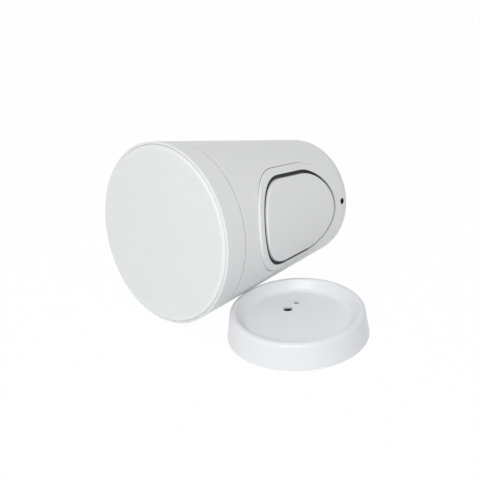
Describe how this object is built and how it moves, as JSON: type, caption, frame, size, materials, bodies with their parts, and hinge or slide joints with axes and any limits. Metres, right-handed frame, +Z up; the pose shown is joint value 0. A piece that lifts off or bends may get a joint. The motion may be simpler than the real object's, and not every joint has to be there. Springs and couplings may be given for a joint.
{
  "type": "pendant speaker",
  "caption": "Tapered round pendant speaker with a flat grille, a terminal cover in its side and a dished ceiling canopy, lying on its side with the canopy beside it.",
  "frame": {"origin": "middle of the bounding box at floor level, the speaker lying on its side with the canopy beside it", "axes": "+X along the floor from the speaker's grille to its rear, +Y from the canopy to the speaker, +Z up"},
  "size_m": [0.2122, 0.2595, 0.1635],
  "materials": {
    "white_plastic": "satin moulded",
    "white_gloss": "smooth moulded",
    "grille_steel": "satin powder coat",
    "scrim_cloth": "fine woven",
    "foam": "matt foam",
    "black_rubber": "matt",
    "zinc_steel": "zinc plated",
    "nickel": "bright plated",
    "black_plastic": "fine grain",
    "black_steel": "satin paint",
    "ferrite": "ground ceramic",
    "paper": "coated pulp",
    "spider_cloth": "resin dipped weave",
    "copper": "enamelled wire",
    "dome_silk": "coated silk",
    "green_plastic": "satin",
    "board": "solder mask",
    "capacitor": "sleeve",
    "lamination": "varnished sheet stack",
    "coil_tape": "wound tape",
    "felt": "soft felt"
  },
  "bodies": {
    "housing": {"rear_shell": "white_plastic", "front_baffle": "white_plastic", "baffle_gasket": "foam", "baffle_screws": "zinc_steel", "grille_magnets": "nickel", "port_tubes": "black_plastic", "woofer_frame": "black_steel", "woofer_gasket": "foam", "woofer_screws": "zinc_steel", "woofer_surround": "black_rubber", "spider": "spider_cloth", "woofer_top_plate": "zinc_steel", "woofer_magnet": "ferrite", "woofer_yoke": "zinc_steel", "tweeter_post": "black_plastic", "tweeter_housing": "black_plastic", "tweeter_dome": "dome_silk", "tweeter_magnet": "ferrite", "door_seal": "black_rubber", "terminal_tray": "black_plastic", "tray_screws": "zinc_steel", "terminal_header": "green_plastic", "tap_switch": "black_plastic", "crossover_board": "board", "board_screws": "zinc_steel", "crossover_coils": "copper", "crossover_capacitor": "capacitor", "transformer_core": "lamination", "transformer_coil": "coil_tape", "transformer_strap": "zinc_steel", "transformer_screws": "zinc_steel", "hang_plate": "zinc_steel", "hang_insert": "zinc_steel", "hang_screws": "zinc_steel", "safety_insert": "black_steel", "lead_conduit": "black_plastic", "lead_bush": "black_rubber", "wadding": "felt", "canopy": "white_gloss"},
    "grille_pan": {"grille": "grille_steel", "grille_scrim": "scrim_cloth"},
    "cover": {"terminal_cover": "white_plastic"},
    "cone": {"woofer_cone": "paper", "voice_coil": "copper"},
    "plug": {"terminal_plug": "green_plastic", "plug_screws": "zinc_steel"},
    "tap": {"tap_knob": "black_plastic", "tap_spindle": "zinc_steel"}
  },
  "joints": [
    {"name": "grille_pull", "type": "slide", "parent": "housing", "child": "grille_pan", "axis": [-0.9871, 0, 0.16], "range_m": [0, 0.04]},
    {"name": "cover_pull", "type": "slide", "parent": "housing", "child": "cover", "axis": [0.208, -0.9641, 0.165], "range_m": [0, 0.04]},
    {"name": "cone_stroke", "type": "slide", "parent": "housing", "child": "cone", "axis": [0.9871, 0, -0.16], "range_m": [-0.0025, 0.0025], "stiffness_N_per_m": 1000, "deforming": ["woofer_surround", "spider"]},
    {"name": "plug_pull", "type": "slide", "parent": "housing", "child": "plug", "axis": [0.9655, 0.1753, -0.1926], "range_m": [0, 0.01]},
    {"name": "tap_turn", "type": "hinge", "parent": "housing", "child": "tap", "pos_m": [0.01764, 0.02955, 0.08123], "axis": [0.208, -0.9641, 0.165], "range_deg": [0, 150]}
  ]
}
